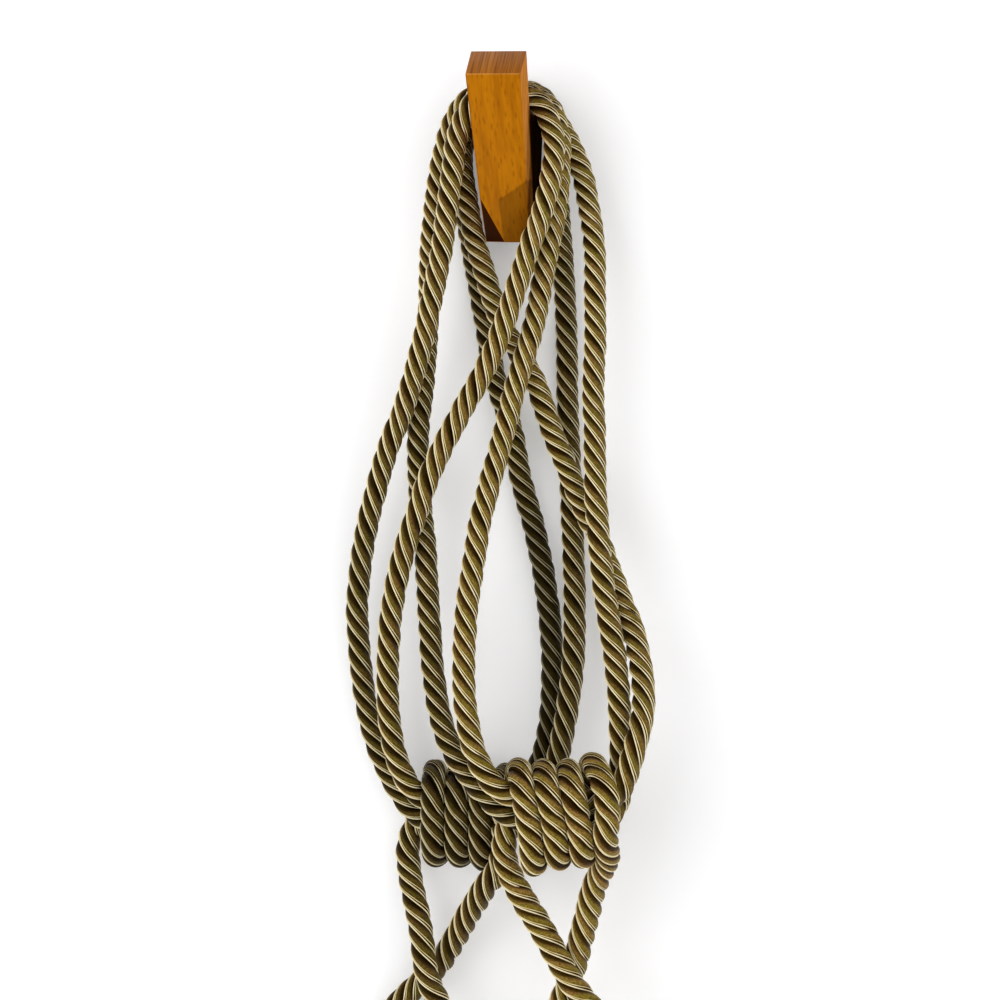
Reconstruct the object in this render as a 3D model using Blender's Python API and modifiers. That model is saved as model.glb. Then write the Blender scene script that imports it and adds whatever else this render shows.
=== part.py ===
# A pair of rope curtain tiebacks hung together over one wooden wall hook.
# Each tieback is an endless ring of rope, hung by its two ears, and a second rope that is wound
# four times round the ring's foot and runs on into the loop below.
# Metres, +Z up. The origin is on the hook's back face, which is fixed to the wall at y = 0;
# the front of the object looks along -Y. Sizes in the tables are millimetres.

from math import cos, pi, radians, sin, tan

import bmesh
import bpy
import numpy as np
from mathutils import Vector

MM = 0.001

# Rope
ROPE_DIAMETER = 10.0
TAUT_SHARE = 0.93        # the rope draws thinner where it hangs taut from the hook
TAUT_ABOVE = -40.0       # height above which it is fully taut
SLACK_BELOW = -220.0     # height below which it has its full diameter
ROPE_SIDES_LEVEL = 3     # bevel resolution of the tubes, ten sides
POINT_SPACING = 10.0     # along the ears and the lower loops
CLOSE_SPACING = 6.5      # along the coils and where an ear bends into its coil
CLOSE_RUN = 65.0         # length of that bend, from each end of an ear
LOOP_CLOSE_RUN = 40.0    # the same for a lower loop
END_STUB = 0.4           # first and last step of every tube, so that its end lies square
CURVE_STEP = 0.5         # of the smooth curve that the points are read from
MEETING_GAP = 0.3        # between two lengths of rope that meet end to end

# Hook
TIP_HALF_WIDTH = 11.2    # at the horn's front top edge
FOOT_LEFT = 11.0         # half widths at the lower end; the sides taper evenly between
FOOT_RIGHT = 8.4
FOOT_HEIGHT = -48.0
HORN_LEAN = radians(34.0)
HORN_THICKNESS = 17.0
TIP_REACH = 72.0         # from the wall to the horn's front top edge
TIP_HEIGHT = 21.3        # of that edge
SADDLE_HEIGHT = 10.9
SADDLE_ROUND = 10.4      # the saddle is rounded across, to this radius
SADDLE_SLICES = 12
EDGE_EASE = 1.1          # width of the ease on every other edge
EASE_STEPS = 2
EASE_ANGLE = radians(35.0)   # edges sharper than this are eased
FACET = (                # three points of the plane that takes off the lower left corner
    (-11.0, -38.2, -28.8),
    (-11.0, -22.0, -48.0),
    (-2.3, -25.3, -48.0),
)
CUT_TOLERANCE = 1e-4

# Coils: a turn goes down in front and up at the back, and moves to the right. The shifts are
# the unevenness of the winding: after so many turns, how far to the side, back and up.
COILS = {
    "back": {
        "first_top": (-35.5, -18.0, -302.0),
        "half_depth": 11.8,
        "half_height": 17.5,
        "pitch": 10.8,
        "front_drift": -4.2,
        "skew": 0.6,
        "shifts": (
            (0.0, 0.5, 0.0, 0.9), (0.5, 0.5, 0.0, -2.4), (1.0, 0.5, 0.0, 0.9),
            (1.5, 0.5, 0.0, -2.1), (2.0, 0.5, 0.0, 0.9), (2.5, 0.5, 0.0, -3.2),
            (3.0, 0.0, 0.0, 0.9), (3.27, 0.0, 0.0, 0.0),
        ),
    },
    "front": {
        "first_top": (8.2, -52.5, -291.7),
        "half_depth": 11.8,
        "half_height": 20.0,
        "pitch": 10.6,
        "front_drift": 1.7,
        "skew": 2.7,
        "shifts": (
            (0.0, 0.0, 0.0, 0.0), (0.5, 0.0, 0.0, -0.7), (1.0, 0.0, 0.0, 0.0),
            (1.5, 0.0, 0.0, 2.7), (2.0, 0.0, 0.0, 0.4), (2.5, 0.0, 0.0, 4.2),
            (3.0, 0.0, 0.0, 3.9), (3.06, 2.0, -0.5, 3.7), (3.12, 3.1, -0.8, 3.4),
            (3.19, 3.2, -0.9, 3.0), (3.27, 0.8, -0.7, 1.5),
        ),
    },
}
COIL_START = -0.27       # in turns, on the way up at the back
COIL_END = 3.27          # in turns, on the way down in front
STEPS_PER_TURN = 16

# Routes: x, y, z of the rope's centre line. An ear runs from the middle of its coil up one
# side, over the hook and down the other side, back to the middle of the coil.
EARS = {
    "back_left_ear": [
        (-19.15, -18, -307), (-27, -18, -307), (-34.5, -17.8, -307), (-41, -16.8, -305.6),
        (-46.5, -16, -301.5), (-52, -15.5, -294), (-57.5, -15.3, -284), (-63, -15, -270),
        (-67.5, -15, -249), (-69.5, -15.5, -228), (-70, -16.5, -212), (-68.5, -18, -196),
        (-65, -20, -176), (-59.5, -23, -156), (-53, -26, -136), (-46, -29, -120),
        (-39.5, -33, -101), (-35, -35, -85), (-31.5, -36.5, -70), (-27.5, -37.5, -52),
        (-25, -37.5, -35), (-22.5, -37.5, -17), (-20.5, -37.5, -4), (-17, -37.5, 5),
        (-11, -37.5, 12.8), (-3, -37.5, 16.2), (5, -37.5, 15.8), (11.5, -37.5, 12.6),
        (16.5, -37.5, 7), (19.6, -37.5, -1), (20.5, -37.5, -9), (19, -37.5, -21),
        (15.2, -37.5, -36), (11, -38, -47), (4, -37.5, -68), (-3.5, -37, -89),
        (-9, -36.5, -101), (-22.5, -34.5, -125), (-33.5, -33, -147), (-39.5, -32, -164),
        (-46.5, -30, -184), (-52, -28, -209), (-54, -26.5, -230), (-54.5, -25, -251),
        (-52.5, -24.5, -270), (-48.5, -23.8, -283), (-44.5, -22.5, -290.5), (-38.5, -20.2, -295.4),
        (-29, -18, -296.4), (-19.15, -18, -296.4),
    ],
    "front_left_ear": [
        (23.85, -52.5, -293.8), (16, -52.5, -293.6), (7.5, -51.9, -293.2), (-1, -50.8, -289.1),
        (-9, -48.5, -282.2), (-16, -45.9, -275), (-21.5, -44, -267.8), (-26, -41.5, -259.5),
        (-30, -37.5, -247), (-33.5, -32, -228), (-35, -28.5, -214), (-36.5, -25, -200),
        (-38, -22, -181), (-40.5, -20, -161), (-41.5, -19.5, -141), (-41, -19.5, -127),
        (-39, -20, -112), (-37, -21.5, -92), (-35.5, -23.5, -73), (-34.5, -25.5, -53),
        (-32.5, -26.5, -34.4), (-30.5, -27, -20.8), (-28, -27, -9.1), (-24.5, -27, 1.6),
        (-19.5, -27, 9.9), (-11, -27, 15.2), (-2, -27, 16.3), (6, -27, 15.2), (13.5, -27, 11.4),
        (19, -27, 4.6), (21.5, -27, -5.2), (21.5, -27, -14.9), (20, -27, -34.4),
        (17.5, -27, -47.1), (15, -27.5, -60), (11, -29, -82), (3, -31.5, -110),
        (-1.5, -33.5, -129), (-6.5, -36, -148), (-11, -38.5, -167), (-13.5, -41.5, -186),
        (-15.5, -43.5, -200), (-16.5, -47.5, -224), (-15.5, -51, -243), (-11.5, -54.5, -261),
        (-6.8, -57.2, -270.5), (-2.2, -57.9, -276.2), (4, -55.5, -281.4), (10, -53.3, -283.2),
        (17, -52.5, -283.4), (23.85, -52.5, -283.4),
    ],
    "front_right_ear": [
        (24.15, -52.5, -283.4), (34, -52.5, -283.4), (42, -52.8, -283.2), (49.5, -54.8, -280.5),
        (53.8, -56.5, -274), (56.5, -57, -265), (58.8, -55, -256), (60.5, -50, -247),
        (60.5, -44, -237), (58.5, -38, -227), (55, -31, -215), (49, -25.5, -202), (43, -22, -188),
        (37.5, -20, -174), (32, -19, -164), (24, -18.5, -145), (17.5, -18, -130),
        (9.5, -17, -108), (0, -16.5, -92), (-6, -16.5, -81), (-10, -16.5, -69),
        (-13.5, -16.5, -58), (-17.5, -16.5, -44.3), (-19.5, -16.5, -32.9), (-21.5, -16.5, -21.5),
        (-22.5, -16.5, -10.2), (-21.5, -16.5, 0.3), (-17, -16.5, 9.3), (-10, -16.5, 14.7),
        (-2, -16.5, 16.3), (6.5, -16.5, 14.8), (13.5, -16.5, 9.8), (18.5, -16.5, 3.1),
        (22.5, -16.5, -3.5), (26, -16.5, -10.2), (29.5, -16.5, -18.7), (33, -18, -34.8),
        (35.5, -20, -51), (36, -22, -69), (36.5, -24, -90), (36, -26, -110), (37, -28, -129),
        (37.5, -30, -148), (39, -32, -167), (41, -33.5, -186), (44, -35.5, -205),
        (47.5, -38, -224), (49.8, -41, -242), (50.8, -43.5, -257), (51.2, -43.6, -268),
        (51.2, -43.8, -278), (49.6, -45, -287.5), (44.5, -49, -293.8), (38, -51.7, -294.4),
        (31, -52.5, -293.8), (24.15, -52.5, -293.8),
    ],
    "back_right_ear": [
        (-18.85, -18, -296.4), (-11, -18, -296.4), (-3, -17.6, -295.8), (4, -16.8, -292),
        (9, -15.8, -285), (12.5, -15, -277), (15, -14, -267), (16.5, -13, -255),
        (17, -11.5, -241), (16.5, -10, -226), (15, -9, -211), (12, -8, -191.5),
        (7.5, -7.5, -171.5), (2, -7, -152), (-2, -6.5, -131), (-8.5, -6, -112), (-12, -6, -96),
        (-14, -6, -84), (-18, -6, -62), (-20.5, -6, -48.2), (-23, -6, -32.5), (-24, -6, -16.8),
        (-22.5, -6, -2.9), (-17.5, -6, 7.7), (-10.5, -6, 14), (-2, -6, 16.2), (6, -6, 15.4),
        (12.7, -6, 11), (17, -6, 3.5), (18, -6, -6.6), (17.8, -6, -16.8), (17.8, -6, -26),
        (18.5, -6, -37.1), (19.5, -6, -48.2), (21, -6, -70), (22, -6, -92), (22.5, -6.5, -117),
        (23.5, -7, -139), (24.5, -8, -161), (25.5, -9.5, -178), (26.5, -11.5, -196),
        (27, -14, -211), (27, -17.5, -231), (25.5, -21.5, -248), (23.5, -24, -262),
        (20.8, -25, -275), (16.5, -24.8, -288), (9.5, -22.6, -300), (1, -19.8, -306.2),
        (-10, -18, -307), (-18.85, -18, -307),
    ],
}

# The loop under each coil: from the coil's right end down the right leg, which crosses behind
# the left leg, round the closed end and up the left leg to the coil's left end.
LOWER_LOOPS = {
    "back": [
        (-2, -29.8, -309), (-2.4, -30.4, -316), (-4.2, -30.8, -322.9), (-9.2, -28.8, -330.5),
        (-14, -25.5, -338.5), (-18.5, -22, -346.5), (-22.7, -18.5, -354.5),
        (-27, -15.5, -362.7), (-31.5, -12.5, -371), (-38, -10.2, -380), (-46.5, -9.2, -388.5),
        (-55, -9.8, -398), (-58.8, -11.5, -409.5), (-53, -14.5, -420.5), (-41, -17.5, -425.5),
        (-29.5, -20, -420.5), (-24.5, -22, -410), (-27, -23, -399), (-33, -23.5, -389),
        (-37.5, -23.3, -378), (-39.8, -22, -367), (-41.5, -19.8, -356),
        (-45, -16, -343.5), (-47.9, -12.5, -332), (-49, -10, -322), (-47.2, -8, -314.5),
    ],
    "front": [
        (46.9, -62.8, -298), (47, -58.2, -303.2), (46.6, -53, -308), (45.2, -48.2, -312.6),
        (43.2, -44.6, -317), (41.1, -42.2, -321.6), (39.3, -40.2, -327), (37.4, -38.2, -334.5),
        (35.2, -36.4, -344), (32, -33.4, -357), (28.5, -31, -371), (24, -30.5, -383),
        (18.5, -31, -395), (15.5, -32.5, -408),
        (20.5, -34, -420), (33, -36, -425.5), (45.5, -38, -420.5), (51, -39.5, -409),
        (49, -40.5, -396), (42, -41, -385), (33.5, -41.5, -374.5), (27.5, -42, -365),
        (22, -42, -355), (17, -42, -346), (11.5, -42, -337), (6, -42, -328),
        (2, -42, -319), (0, -41.5, -309.5),
    ],
}

# Colours, roughness
ROPE_COLOUR = (0.19, 0.145, 0.045, 1.0)
WOOD_COLOUR = (0.50, 0.21, 0.04, 1.0)
ROPE_ROUGHNESS = 0.45
WOOD_ROUGHNESS = 0.35


def clear_scene():
    for obj in list(bpy.data.objects):
        bpy.data.objects.remove(obj, do_unlink=True)


def make_collection(name):
    collection = bpy.data.collections.new(name)
    bpy.context.scene.collection.children.link(collection)
    return collection


def make_material(name, colour, roughness):
    material = bpy.data.materials.new(name)
    material.use_nodes = True
    shader = material.node_tree.nodes["Principled BSDF"]
    shader.inputs["Base Color"].default_value = colour
    shader.inputs["Roughness"].default_value = roughness
    return material


def smooth_stretch(a, b, c, d):
    """Points from b up to, but without, c, on the curve through a, b, c and d."""
    t1 = np.linalg.norm(b - a) ** 0.5
    t2 = t1 + np.linalg.norm(c - b) ** 0.5
    t3 = t2 + np.linalg.norm(d - c) ** 0.5
    count = max(2, int(np.linalg.norm(c - b) / CURVE_STEP))
    points = []
    for t in np.linspace(t1, t2, count, endpoint=False):
        ab = ((t1 - t) * a + t * b) / t1
        bc = ((t2 - t) * b + (t - t1) * c) / (t2 - t1)
        cd = ((t3 - t) * c + (t - t2) * d) / (t3 - t2)
        left = ((t2 - t) * ab + t * bc) / t2
        right = ((t3 - t) * bc + (t - t1) * cd) / (t3 - t1)
        points.append(((t2 - t) * left + (t - t1) * right) / (t2 - t1))
    return points


def smooth_curve(route, closed=False):
    """A finely stepped smooth curve through the route's own points."""
    points = [np.array(p, float) for p in route]
    if closed:
        points = [points[-1]] + points + points[:2]
    else:
        points = [2 * points[0] - points[1]] + points + [2 * points[-1] - points[-2]]
    curve = []
    for i in range(len(points) - 3):
        curve += smooth_stretch(*points[i:i + 4])
    curve.append(points[-2])
    return np.array(curve)


def lengths_along(curve):
    steps = np.linalg.norm(np.diff(curve, axis=0), axis=1)
    return np.concatenate([[0.0], np.cumsum(steps)])


def even_marks(start, stop, spacing):
    return np.linspace(start, stop, int(round((stop - start) / spacing)) + 1)


def read_curve(curve, marks):
    """The points of a curve at some lengths along it."""
    along = lengths_along(curve)
    return np.stack([np.interp(marks, along, curve[:, k]) for k in range(3)], axis=1)


def tube_marks(start, stop, close_run):
    """Lengths at which a tube's points are read, closer together at both ends."""
    into = even_marks(start + END_STUB, start + close_run, CLOSE_SPACING)
    middle = even_marks(start + close_run, stop - close_run, POINT_SPACING)
    out = even_marks(stop - close_run, stop - END_STUB, CLOSE_SPACING)
    return np.concatenate([[start], into, middle[1:], out[1:], [stop]])


def coil_marks(start, stop):
    turns = even_marks(start + END_STUB, stop - END_STUB, CLOSE_SPACING)
    return np.concatenate([[start], turns, [stop]])


def coil_point(coil, turns):
    """A point on a coil's centre line. A turn starts at the top and goes down in front."""
    radius = coil["half_depth"]
    straight = coil["half_height"] - radius
    quarter = pi * radius / 2
    part = turns % 1.0
    run = part * (4 * quarter + 4 * straight)
    if run < quarter:
        depth, height = -radius * sin(run / radius), straight + radius * cos(run / radius)
    elif run < quarter + 2 * straight:
        depth, height = -radius, straight - (run - quarter)
    elif run < 3 * quarter + 2 * straight:
        bend = (run - quarter - 2 * straight) / radius
        depth, height = -radius * cos(bend), -straight - radius * sin(bend)
    elif run < 3 * quarter + 4 * straight:
        depth, height = radius, run - 3 * quarter - 3 * straight
    else:
        bend = (run - 3 * quarter - 4 * straight) / radius
        depth, height = radius * cos(bend), straight + radius * sin(bend)
    angle = 2 * pi * part
    drift = coil["front_drift"] * (1 - cos(angle)) / 2 + coil["skew"] * sin(angle)
    after, aside, back, up = zip(*coil["shifts"])
    x, y, z = coil["first_top"]
    return (
        x + coil["pitch"] * turns + drift + np.interp(turns, after, aside),
        y + depth + np.interp(turns, after, back),
        z + height + np.interp(turns, after, up),
    )


def wrap_curve(name):
    """The closed curve of a wrap rope, and the length along it at which its coil ends."""
    coil = COILS[name]
    count = int(round((COIL_END - COIL_START) * STEPS_PER_TURN))
    marks = np.linspace(COIL_START, COIL_END, count + 1)
    turns = [coil_point(coil, t) for t in marks]
    curve = smooth_curve(turns + LOWER_LOOPS[name], closed=True)
    gaps = np.linalg.norm(curve - np.array(turns[-1]), axis=1)
    return curve, lengths_along(curve)[int(np.argmin(gaps))]


def rope_share(height):
    """How much of its full diameter the rope has at a height."""
    rise = (height - SLACK_BELOW) / (TAUT_ABOVE - SLACK_BELOW)
    rise = min(1.0, max(0.0, rise))
    return 1.0 - (1.0 - TAUT_SHARE) * rise


def make_rope(name, points, material, collection):
    curve = bpy.data.curves.new(name, "CURVE")
    curve.dimensions = "3D"
    curve.bevel_depth = ROPE_DIAMETER / 2 * MM
    curve.bevel_resolution = ROPE_SIDES_LEVEL
    curve.use_fill_caps = True
    spline = curve.splines.new("POLY")
    spline.points.add(len(points) - 1)
    for slot, point in zip(spline.points, points):
        slot.co = (*(point * MM), 1.0)
        slot.radius = rope_share(point[2])
    obj = bpy.data.objects.new(name, curve)
    curve.materials.append(material)
    collection.objects.link(obj)
    return obj


def across_at(angle, height):
    """How far to the side a point lies, where the angle goes from left to right."""
    foot = FOOT_LEFT if angle < 0 else FOOT_RIGHT
    rise = (height - FOOT_HEIGHT) / (TIP_HEIGHT - FOOT_HEIGHT)
    return sin(angle) * (foot + (TIP_HALF_WIDTH - foot) * rise)


def hook_slice(drop):
    """The hook's outline seen from the side, where the saddle lies a drop below its crown."""
    tip_front = Vector((-TIP_REACH, TIP_HEIGHT))
    tip_back = tip_front + HORN_THICKNESS * Vector((cos(HORN_LEAN), sin(HORN_LEAN)))
    down_horn = Vector((sin(HORN_LEAN), -cos(HORN_LEAN)))
    saddle = SADDLE_HEIGHT - drop
    throat = tip_back + down_horn * (tip_back.y - saddle) / -down_horn.y
    foot_reach = TIP_REACH - (TIP_HEIGHT - FOOT_HEIGHT) * tan(HORN_LEAN)
    return [
        Vector((0.0, FOOT_HEIGHT)),
        Vector((0.0, saddle)),
        throat,
        tip_back,
        tip_front,
        Vector((-foot_reach, FOOT_HEIGHT)),
    ]


def loft_hook(body):
    """Joins the slices from one side of the hook to the other."""
    rings = []
    for angle in np.linspace(-pi / 2, pi / 2, SADDLE_SLICES + 1):
        outline = hook_slice(SADDLE_ROUND * (1 - cos(angle)))
        rings.append([body.verts.new((across_at(angle, p.y), p.x, p.y)) for p in outline])
    for left, right in zip(rings, rings[1:]):
        for i in range(len(left)):
            j = (i + 1) % len(left)
            body.faces.new((left[i], left[j], right[j], right[i]))
    body.faces.new(rings[0])
    body.faces.new(rings[-1])


def cut_facet(body):
    """Takes off the lower left corner of the front."""
    a, b, c = (Vector(p) for p in FACET)
    outward = (b - a).cross(c - a).normalized()
    geometry = body.verts[:] + body.edges[:] + body.faces[:]
    cut = bmesh.ops.bisect_plane(
        body, geom=geometry, plane_co=a, plane_no=outward, clear_outer=True, dist=CUT_TOLERANCE,
    )
    rim = [e for e in cut["geom_cut"] if isinstance(e, bmesh.types.BMEdge)]
    bmesh.ops.edgeloop_fill(body, edges=rim)


def make_hook(material, collection):
    body = bmesh.new()
    loft_hook(body)
    cut_facet(body)
    bmesh.ops.recalc_face_normals(body, faces=body.faces[:])
    bmesh.ops.scale(body, vec=(MM, MM, MM), verts=body.verts[:])
    mesh = bpy.data.meshes.new("hook")
    body.to_mesh(mesh)
    body.free()
    mesh.materials.append(material)
    obj = bpy.data.objects.new("hook", mesh)
    collection.objects.link(obj)
    ease = obj.modifiers.new("eased edges", "BEVEL")
    ease.width = EDGE_EASE * MM
    ease.segments = EASE_STEPS
    ease.limit_method = "ANGLE"
    ease.angle_limit = EASE_ANGLE
    return obj


def make_ears(material, collection):
    for name, route in EARS.items():
        curve = smooth_curve(route)
        marks = tube_marks(0.0, lengths_along(curve)[-1], CLOSE_RUN)
        make_rope(name, read_curve(curve, marks), material, collection)


def make_wraps(material, collection):
    for name in COILS:
        curve, coil_end = wrap_curve(name)
        whole = lengths_along(curve)[-1]
        half_gap = MEETING_GAP / 2
        coil = coil_marks(half_gap, coil_end - half_gap)
        loop = tube_marks(coil_end + half_gap, whole - half_gap, LOOP_CLOSE_RUN)
        make_rope(name + "_coil", read_curve(curve, coil), material, collection)
        make_rope(name + "_lower_loop", read_curve(curve, loop), material, collection)


def main():
    clear_scene()
    parts = make_collection("rope_tiebacks_on_hook")
    rope = make_material("rope", ROPE_COLOUR, ROPE_ROUGHNESS)
    wood = make_material("hook_wood", WOOD_COLOUR, WOOD_ROUGHNESS)
    make_hook(wood, parts)
    make_ears(rope, parts)
    make_wraps(rope, parts)


main()
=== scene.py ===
from math import cos, pi, radians, sin

import bpy
import numpy as np
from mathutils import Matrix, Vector


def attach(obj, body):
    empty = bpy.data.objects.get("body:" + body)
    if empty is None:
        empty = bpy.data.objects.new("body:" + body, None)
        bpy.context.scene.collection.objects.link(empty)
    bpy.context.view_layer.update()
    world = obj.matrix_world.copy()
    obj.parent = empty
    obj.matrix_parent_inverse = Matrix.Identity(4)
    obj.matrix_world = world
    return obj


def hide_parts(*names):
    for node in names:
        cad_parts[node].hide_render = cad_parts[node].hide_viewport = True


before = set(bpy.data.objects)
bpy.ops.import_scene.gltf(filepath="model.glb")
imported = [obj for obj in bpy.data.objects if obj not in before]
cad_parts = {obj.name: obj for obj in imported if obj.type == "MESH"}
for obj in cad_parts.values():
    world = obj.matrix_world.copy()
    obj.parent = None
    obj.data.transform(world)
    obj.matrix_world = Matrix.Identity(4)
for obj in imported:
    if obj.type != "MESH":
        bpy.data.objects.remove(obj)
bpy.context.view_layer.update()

# The camera looks from the room, a little from the right and from above
cameraView = {
    "azimuth": 9.0,
    "elevation": 9.0,
    "distance": 1.0,
    "target": (-0.0045, -0.025, -0.159),
    "lens": 83.16,            # in millimetres
}


def makeCamera():
    azimuth, elevation = radians(cameraView["azimuth"]), radians(cameraView["elevation"])
    flat = cos(elevation)
    back = Vector((sin(azimuth) * flat, -cos(azimuth) * flat, sin(elevation)))
    place = Vector(cameraView["target"]) + back * cameraView["distance"]
    bpy.ops.object.camera_add(location=place, rotation=back.to_track_quat("Z", "Y").to_euler())
    camera = bpy.context.object
    camera.data.lens = cameraView["lens"]
    camera.data.dof.use_dof = False
    bpy.context.scene.camera = camera


makeCamera()
print("camera placed")


# A Signal is a socket's value in a material, and sums on it add the nodes that work them out
class Signal:
    def __init__(self, tree, socket=None):
        self.tree = tree
        self.socket = socket

    def node(self, kind, sockets=None, settings=None, output=0):
        made = self.tree.nodes.new(kind)
        for name, value in (settings or {}).items():
            if name == "stops":
                stops = made.color_ramp.elements
                for i, (place, colour) in enumerate(value):
                    stop = stops[i] if i < len(stops) else stops.new(place)
                    stop.position = place
                    stop.color = (*colour, 1.0)
            else:
                setattr(made, name, value)
        for name, value in (sockets or {}).items():
            if isinstance(value, Signal):
                self.tree.links.new(value.socket, made.inputs[name])
            else:
                made.inputs[name].default_value = value
        return Signal(self.tree, made.outputs[output])

    def maths(self, operation, *values):
        return self.node("ShaderNodeMath", dict(enumerate(values)), {"operation": operation})

    def __add__(self, other):
        return self.maths("ADD", self, other)

    __radd__ = __add__

    def __sub__(self, other):
        return self.maths("SUBTRACT", self, other)

    def __rsub__(self, other):
        return self.maths("SUBTRACT", other, self)

    def __mul__(self, other):
        return self.maths("MULTIPLY", self, other)

    __rmul__ = __mul__

    def sine(self):
        return self.maths("SINE", self)

    def atMost(self, limit):
        return self.maths("MINIMUM", self, limit)

    def between(self, low, high):
        ends = {"Value": self, "From Min": low, "From Max": high}
        return self.node("ShaderNodeMapRange", ends, {"interpolation_type": "SMOOTHSTEP"})

    def part(self, axis):
        return self.node("ShaderNodeSeparateXYZ", {"Vector": self}, output=axis)

    def blend(self, first, second):
        # 6 and 7 are the Mix node's two colours, and its third output is the mixed one
        colours = {"Factor": self, 6: first, 7: second}
        return self.node("ShaderNodeMix", colours, {"data_type": "RGBA"}, 2)

    def tinted(self, colour):
        return self.node("ShaderNodeVectorMath", {0: self, 1: colour}, {"operation": "MULTIPLY"})

    def scaled(self, share):
        return self.node("ShaderNodeVectorMath", {0: self, "Scale": share}, {"operation": "SCALE"})


def newMaterial(name):
    material = bpy.data.materials.new(name)
    material.use_nodes = True
    return material, material.node_tree.nodes["Principled BSDF"], Signal(material.node_tree)


def placeOf(tree, x, y, z):
    return tree.node("ShaderNodeCombineXYZ", {"X": x, "Y": y, "Z": z})


def noise(tree, spot, scale, detail):
    return tree.node("ShaderNodeTexNoise", {"Vector": spot, "Scale": scale, "Detail": detail})


def feed(signal, shader, socket):
    signal.tree.links.new(signal.socket, shader.inputs[socket])


def feedBump(height, strength, distance, shader):
    levels = {"Height": height, "Strength": strength, "Distance": distance}
    feed(height.node("ShaderNodeBump", levels), shader, "Normal")


# Ropes: four plies laid to the left round each other, with two gold threads on each ply
rope = {
    "diameter": 0.010,
    "tautShare": 0.93,        # the rope draws thinner where it hangs taut from the hook
    "tautAbove": -0.040,      # heights
    "slackBelow": -0.220,
    "plies": 4,
    "helixRadius": 0.0029,    # of a ply's own centre line
    "plyThick": 0.0021,       # half thickness, outwards
    "plyFill": 1.14,          # a ply's width, as a share of the room between its neighbours
    "step": 0.0011,           # between the rings of a ply's mesh
    "curveStep": 0.0005,
    "plySides": 12,
    "threadSides": 5,
    "evenEnds": 0.02,         # the lay grows even over this length, up to each end
    "patternShift": 0.031,    # from one ply to the next, so that their streaks differ
    "declareEvery": 3,
}

# How unevenly the plies lie, in radians, in a long wave and a short one
wander = {
    "size": 0.10,
    "long": {"share": 1.0, "length": 0.0131, "perPly": 2.1},
    "short": {"share": 0.7, "length": 0.0057, "perPly": 4.4},
}
swell = {"share": 0.035, "length": 0.0083, "perPly": 1.7}     # a ply is thicker here and there

# The gold threads lie on the flank of each ply: the angle from the ply's crown, how far that
# angle swings from one side of the rope to the other, the radius, and how far they stand proud
threads = (
    {"angle": radians(49.0), "swing": radians(-25.0), "radius": 0.00033, "proud": 0.00018,
     "slot": 1},
    {"angle": radians(26.0), "swing": radians(-19.0), "radius": 0.00021, "proud": 0.00007,
     "slot": 2},
)
# On top of a bend the threads are worn thinner, where a ply faces up by more than this slope
wear = {"share": 0.75, "from": 0.4}
# The threads change to a ply's other flank over this half length, and near a coil's start
flankTurn = {"half": 0.010, "start": 0.012}
roomSide = (0.0, 1.0, 0.0)    # the way that someone in the room looks

# Coils: a turn is a flat oval, and each shift, after so many turns, goes aside, back and up,
# because the winding is uneven
coils = {
    "back_coil": {
        "firstTop": (-0.0355, -0.018, -0.302),
        "halfDepth": 0.0118,
        "halfHeight": 0.0175,
        "pitch": 0.0108,
        "frontDrift": -0.0042,
        "skew": 0.0006,
        "shifts": (
            (0.0, 0.0005, 0.0, 0.0009), (0.5, 0.0005, 0.0, -0.0024), (1.0, 0.0005, 0.0, 0.0009),
            (1.5, 0.0005, 0.0, -0.0021), (2.0, 0.0005, 0.0, 0.0009), (2.5, 0.0005, 0.0, -0.0032),
            (3.0, 0.0, 0.0, 0.0009), (3.27, 0.0, 0.0, 0.0),
        ),
    },
    "front_coil": {
        "firstTop": (0.0082, -0.0525, -0.2917),
        "halfDepth": 0.0118,
        "halfHeight": 0.0200,
        "pitch": 0.0106,
        "frontDrift": 0.0017,
        "skew": 0.0027,
        "shifts": (
            (0.0, 0.0, 0.0, 0.0), (0.5, 0.0, 0.0, -0.0007), (1.0, 0.0, 0.0, 0.0),
            (1.5, 0.0, 0.0, 0.0027), (2.0, 0.0, 0.0, 0.0004), (2.5, 0.0, 0.0, 0.0042),
            (3.0, 0.0, 0.0, 0.0039), (3.06, 0.0020, -0.0005, 0.0037),
            (3.12, 0.0031, -0.0008, 0.0034), (3.19, 0.0032, -0.0009, 0.0030),
            (3.27, 0.0008, -0.0007, 0.0015),
        ),
    },
}

# A coil's turns are counted from the first place where its rope crosses the top
coilTurns = {"start": -0.27, "end": 3.27, "stepsPerTurn": 16}

# Heights, with the length from one ply to the next along the rope: taut rope is laid tighter
plySpacing = {
    "back_left_ear": ((-0.25, 0.0090), (-0.19, 0.0092), (-0.16, 0.0086), (-0.12, 0.0074),
                      (-0.07, 0.0072), (-0.03, 0.0064), (0.02, 0.0062)),
    "front_left_ear": ((-0.25, 0.0083), (-0.20, 0.0077), (-0.15, 0.0071), (-0.10, 0.0065),
                       (-0.04, 0.0061)),
    "front_right_ear": ((-0.26, 0.0080), (-0.20, 0.0076), (-0.12, 0.0071), (-0.07, 0.0065),
                        (-0.02, 0.0061)),
    "back_right_ear": ((-0.25, 0.0080), (-0.20, 0.0078), (-0.15, 0.0071), (-0.10, 0.0070),
                       (-0.05, 0.0061)),
    "back_coil": ((-0.36, 0.0080), (-0.33, 0.0070)),
    "front_coil": ((-0.36, 0.0080), (-0.33, 0.0070)),
}

# Heights, with how much fuller the slack rope is in the coils and the loops
girths = {
    "back_coil": ((-0.335, 1.10), (-0.315, 1.08)),
    "front_coil": ((-0.335, 1.13), (-0.312, 1.08)),
}
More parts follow.
